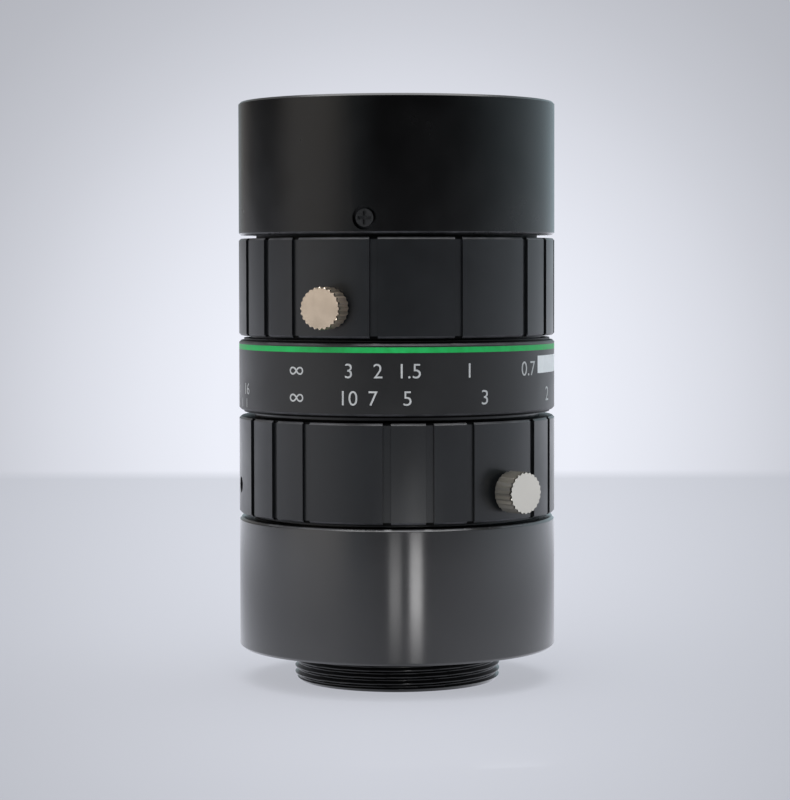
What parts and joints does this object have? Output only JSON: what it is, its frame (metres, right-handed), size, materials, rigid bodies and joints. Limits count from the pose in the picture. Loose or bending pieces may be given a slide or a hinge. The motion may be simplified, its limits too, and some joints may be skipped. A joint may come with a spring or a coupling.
{
  "type": "c-mount machine vision lens",
  "caption": "Cylindrical machine vision lens with a rear screw mount, grooved focus and iris rings with knurled lock screws, and a working iris diaphragm.",
  "frame": {"origin": "centre of the mounting flange plane, on the optical axis", "axes": "+Z along the optical axis to the front glass; -Y the near side in the picture, +X its right"},
  "size_m": [0.039, 0.0415, 0.0712],
  "materials": {
    "front_anodised": "satin black anodised",
    "ring_anodised": "satin black anodised",
    "band_anodised": "satin black anodised",
    "rear_anodised": "glossier black anodised",
    "inner_anodised": "matt black anodised",
    "green_enamel": "enamel",
    "white_enamel": "enamel",
    "screw_steel": "turned and knurled",
    "pin_steel": "ground",
    "black_screw": "black oxide",
    "iris_black": "matt black",
    "coated_glass": "anti-reflection coated"
  },
  "bodies": {
    "fixed_barrel": {"rear_barrel": "rear_anodised", "main_barrel": "band_anodised", "green_line": "green_enamel", "white_patch": "white_enamel", "guide_pins": "pin_steel", "focus_retaining_ring": "inner_anodised"},
    "focus_ring": {"focus_ring": "ring_anodised"},
    "focus_lock": {"focus_lock_screw": "screw_steel"},
    "iris_ring": {"iris_ring": "ring_anodised", "iris_drive_screw": "pin_steel"},
    "iris_lock": {"iris_lock_screw": "screw_steel"},
    "lens_unit": {"front_barrel": "front_anodised", "front_barrel_screws": "black_screw", "lens_barrel": "inner_anodised", "front_retaining_ring": "inner_anodised", "front_element": "coated_glass", "front_spacer": "inner_anodised", "second_element": "coated_glass", "pair_retaining_ring": "inner_anodised", "front_pair_outer": "coated_glass", "front_pair_inner": "coated_glass", "pair_spacer": "inner_anodised", "iris_base_plate": "iris_black", "iris_retaining_ring": "inner_anodised", "rear_cell": "inner_anodised", "rear_pair_inner": "coated_glass", "rear_pair_outer": "coated_glass", "rear_spacer": "inner_anodised", "rear_element": "coated_glass", "rear_retaining_ring": "inner_anodised"},
    "iris_cam": {"iris_cam_ring": "iris_black"},
    "blade_1": {"iris_blade_1": "iris_black"},
    "blade_2": {"iris_blade_2": "iris_black"},
    "blade_3": {"iris_blade_3": "iris_black"},
    "blade_4": {"iris_blade_4": "iris_black"},
    "blade_5": {"iris_blade_5": "iris_black"},
    "blade_6": {"iris_blade_6": "iris_black"}
  },
  "joints": [
    {"name": "focus_turn", "type": "hinge", "parent": "fixed_barrel", "child": "focus_ring", "pos_m": [0, 0, 0.044], "axis": [0, 0, 1], "range_deg": [0, 150]},
    {"name": "focus_slide", "type": "slide", "parent": "fixed_barrel", "child": "lens_unit", "axis": [0, 0, 1], "range_m": [0, 0.003]},
    {"name": "iris_turn", "type": "hinge", "parent": "fixed_barrel", "child": "iris_ring", "pos_m": [0, 0, 0.022], "axis": [0, 0, 1], "range_deg": [0, 60]},
    {"name": "cam_turn", "type": "hinge", "parent": "lens_unit", "child": "iris_cam", "pos_m": [0, 0, 0.022], "axis": [0, 0, 1], "range_deg": [0, 60]},
    {"name": "focus_lock_turn", "type": "hinge", "parent": "focus_ring", "child": "focus_lock", "pos_m": [0, 0, 0.042], "axis": [-0.3907, -0.9205, 0], "range_deg": [-90, 270]},
    {"name": "iris_lock_turn", "type": "hinge", "parent": "iris_ring", "child": "iris_lock", "pos_m": [0, 0, 0.02015], "axis": [0.6639, -0.7478, 0], "range_deg": [-90, 270]},
    {"name": "blade_1_turn", "type": "hinge", "parent": "lens_unit", "child": "blade_1", "pos_m": [0.011, 0, 0.0215], "axis": [0, 0, 1], "range_deg": [0, 26.66]},
    {"name": "blade_2_turn", "type": "hinge", "parent": "lens_unit", "child": "blade_2", "pos_m": [0.0055, 0.00953, 0.0215], "axis": [0, 0, 1], "range_deg": [0, 26.66]},
    {"name": "blade_3_turn", "type": "hinge", "parent": "lens_unit", "child": "blade_3", "pos_m": [-0.0055, 0.00953, 0.0215], "axis": [0, 0, 1], "range_deg": [0, 26.66]},
    {"name": "blade_4_turn", "type": "hinge", "parent": "lens_unit", "child": "blade_4", "pos_m": [-0.011, 0, 0.0215], "axis": [0, 0, 1], "range_deg": [0, 26.66]},
    {"name": "blade_5_turn", "type": "hinge", "parent": "lens_unit", "child": "blade_5", "pos_m": [-0.0055, -0.00953, 0.0215], "axis": [0, 0, 1], "range_deg": [0, 26.66]},
    {"name": "blade_6_turn", "type": "hinge", "parent": "lens_unit", "child": "blade_6", "pos_m": [0.0055, -0.00953, 0.0215], "axis": [0, 0, 1], "range_deg": [0, 26.66]}
  ],
  "couplings": [
    {"joint": "focus_turn", "follows": "focus_slide", "rad_per_m": 872.66},
    {"joint": "cam_turn", "follows": "iris_turn", "ratio": 1},
    {"joint": "blade_1_turn", "follows": "iris_turn", "ratio": 0.44413},
    {"joint": "blade_2_turn", "follows": "iris_turn", "ratio": 0.44413},
    {"joint": "blade_3_turn", "follows": "iris_turn", "ratio": 0.44413},
    {"joint": "blade_4_turn", "follows": "iris_turn", "ratio": 0.44413},
    {"joint": "blade_5_turn", "follows": "iris_turn", "ratio": 0.44413},
    {"joint": "blade_6_turn", "follows": "iris_turn", "ratio": 0.44413}
  ]
}
